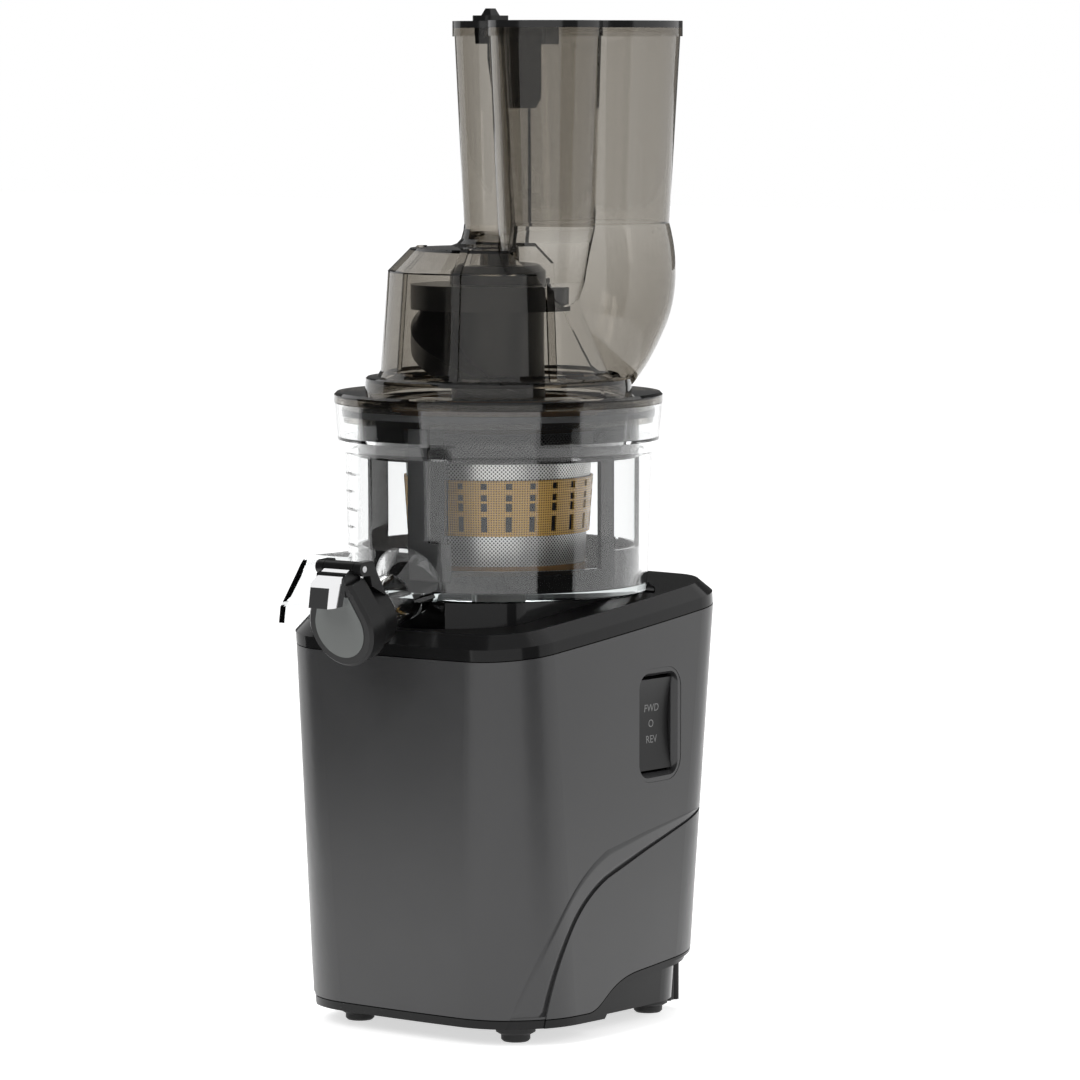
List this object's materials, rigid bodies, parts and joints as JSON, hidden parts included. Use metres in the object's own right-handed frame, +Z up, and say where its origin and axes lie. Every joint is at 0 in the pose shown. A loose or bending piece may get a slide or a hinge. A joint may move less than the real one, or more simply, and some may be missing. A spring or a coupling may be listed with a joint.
{
  "type": "cold press juicer",
  "caption": "Upright cold press juicer: tapered motor base with rocker switch, clear bowl with strainer, wiper and auger, capped juice tube, pulp duct, and a tall smoky hopper with a gate.",
  "frame": {"origin": "point where the drive axis meets the table the feet stand on", "axes": "+Z up along the drive axis, -Y towards the juice tube and the front, +X towards the switch"},
  "size_m": [0.206, 0.2292, 0.49],
  "materials": {
    "housing": "fine satin",
    "bottom_cover": "gloss",
    "top_cover": "gloss sides, finely textured top",
    "foot_front_left": "matt",
    "foot_front_right": "matt",
    "foot_rear_left": "matt",
    "foot_rear_right": "matt",
    "cord_gland": "matt",
    "switch_bezel": "satin",
    "switch_body": "moulded",
    "bowl_seat": "gloss",
    "shaft_seal": "lip seal",
    "motor_can": "drawn",
    "motor_stator": "laminated",
    "motor_bracket": "cast",
    "gearbox_case": "cast",
    "gearbox_lid": "cast",
    "lower_bearing": "ground",
    "upper_bearing": "ground",
    "gear_axles": "ground",
    "control_board": "printed board",
    "rocker_button": "satin",
    "drive_shaft": "machined",
    "output_gear": "sintered",
    "gear_cluster_second": "sintered",
    "gear_cluster_first": "moulded acetal",
    "motor_rotor": "laminated",
    "motor_pinion": "machined",
    "motor_fan": "moulded",
    "juicing_bowl": "clear moulded plastic",
    "bowl_bush": "silicone",
    "idler_pin": "ground",
    "pulp_stopper": "silicone",
    "spout_collar": "satin",
    "cap_hinge_pin": "ground",
    "strainer_mesh": "perforated",
    "strainer_band": "clear amber",
    "strainer_base": "clear amber",
    "strainer_top_ring": "clear amber",
    "cap_lever": "satin",
    "cap_face": "satin with a bright rim",
    "cap_handle": "polished",
    "cap_plug": "silicone",
    "auger": "moulded",
    "wiper_frame": "smoky moulded plastic",
    "wiper_blades": "silicone",
    "idler_gear": "moulded acetal",
    "hopper": "smoky moulded plastic",
    "chute_rim": "gloss",
    "hopper_seal": "silicone",
    "gate_hinge": "satin",
    "gate_pin": "ground",
    "gate_flap": "smoky moulded plastic"
  },
  "bodies": {
    "base": {"housing": "housing", "bottom_cover": "bottom_cover", "top_cover": "top_cover", "foot_front_left": "foot_front_left", "foot_front_right": "foot_front_right", "foot_rear_left": "foot_rear_left", "foot_rear_right": "foot_rear_right", "cord_gland": "cord_gland", "switch_bezel": "switch_bezel", "switch_body": "switch_body", "bowl_seat": "bowl_seat", "shaft_seal": "shaft_seal", "motor_can": "motor_can", "motor_stator": "motor_stator", "motor_bracket": "motor_bracket", "gearbox_case": "gearbox_case", "gearbox_lid": "gearbox_lid", "lower_bearing": "lower_bearing", "upper_bearing": "upper_bearing", "gear_axles": "gear_axles", "control_board": "control_board"},
    "rocker": {"rocker_button": "rocker_button"},
    "drive": {"drive_shaft": "drive_shaft", "output_gear": "output_gear"},
    "second_cluster": {"gear_cluster_second": "gear_cluster_second"},
    "first_cluster": {"gear_cluster_first": "gear_cluster_first"},
    "rotor": {"motor_rotor": "motor_rotor", "motor_pinion": "motor_pinion", "motor_fan": "motor_fan"},
    "bowl": {"juicing_bowl": "juicing_bowl", "bowl_bush": "bowl_bush", "idler_pin": "idler_pin", "pulp_stopper": "pulp_stopper", "spout_collar": "spout_collar", "cap_hinge_pin": "cap_hinge_pin", "strainer_mesh": "strainer_mesh", "strainer_band": "strainer_band", "strainer_base": "strainer_base", "strainer_top_ring": "strainer_top_ring"},
    "cap": {"cap_lever": "cap_lever", "cap_face": "cap_face", "cap_handle": "cap_handle", "cap_plug": "cap_plug"},
    "auger": {"auger": "auger"},
    "wiper": {"wiper_frame": "wiper_frame", "wiper_blades": "wiper_blades"},
    "idler": {"idler_gear": "idler_gear"},
    "hopper": {"hopper": "hopper", "chute_rim": "chute_rim", "hopper_seal": "hopper_seal", "gate_hinge": "gate_hinge", "gate_pin": "gate_pin"},
    "gate": {"gate_flap": "gate_flap"}
  },
  "joints": [
    {"name": "rocker_tilt", "type": "hinge", "parent": "base", "child": "rocker", "pos_m": [0.071, 0.028, 0.1465], "axis": [0, 1, 0], "range_deg": [-7, 7]},
    {"name": "drive_spin", "type": "hinge", "parent": "base", "child": "drive", "pos_m": [0, 0, 0], "axis": [0, 0, 1], "continuous": true},
    {"name": "second_cluster_spin", "type": "hinge", "parent": "base", "child": "second_cluster", "pos_m": [-0.03274, 0.03712, 0], "axis": [0, 0, 1], "continuous": true},
    {"name": "first_cluster_spin", "type": "hinge", "parent": "base", "child": "first_cluster", "pos_m": [0, 0.033, 0], "axis": [0, 0, 1], "continuous": true},
    {"name": "rotor_spin", "type": "hinge", "parent": "base", "child": "rotor", "pos_m": [0, 0, 0], "axis": [0, 0, 1], "continuous": true},
    {"name": "bowl_lift", "type": "slide", "parent": "base", "child": "bowl", "axis": [0, 0, 1], "range_m": [0, 0.06]},
    {"name": "cap_flip", "type": "hinge", "parent": "bowl", "child": "cap", "pos_m": [0, -0.11685, 0.22831], "axis": [1, 0, 0], "range_deg": [-95, 0]},
    {"name": "auger_spin", "type": "hinge", "parent": "bowl", "child": "auger", "pos_m": [0, 0, 0], "axis": [0, 0, 1], "continuous": true},
    {"name": "wiper_spin", "type": "hinge", "parent": "bowl", "child": "wiper", "pos_m": [0, 0, 0], "axis": [0, 0, 1], "continuous": true},
    {"name": "idler_spin", "type": "hinge", "parent": "bowl", "child": "idler", "pos_m": [0, 0.03, 0], "axis": [0, 0, 1], "continuous": true},
    {"name": "hopper_lift", "type": "slide", "parent": "bowl", "child": "hopper", "axis": [0, 0, 1], "range_m": [0, 0.08]},
    {"name": "gate_swing", "type": "hinge", "parent": "hopper", "child": "gate", "pos_m": [-0.008, 0, 0.478], "axis": [0, 1, 0], "range_deg": [-75, 0]}
  ],
  "couplings": [
    {"joint": "second_cluster_spin", "follows": "drive_spin", "ratio": -3.4},
    {"joint": "first_cluster_spin", "follows": "drive_spin", "ratio": 13.6},
    {"joint": "rotor_spin", "follows": "drive_spin", "ratio": -61.2},
    {"joint": "auger_spin", "follows": "drive_spin", "ratio": 1},
    {"joint": "idler_spin", "follows": "drive_spin", "ratio": -1.5},
    {"joint": "wiper_spin", "follows": "drive_spin", "ratio": -0.42857}
  ]
}
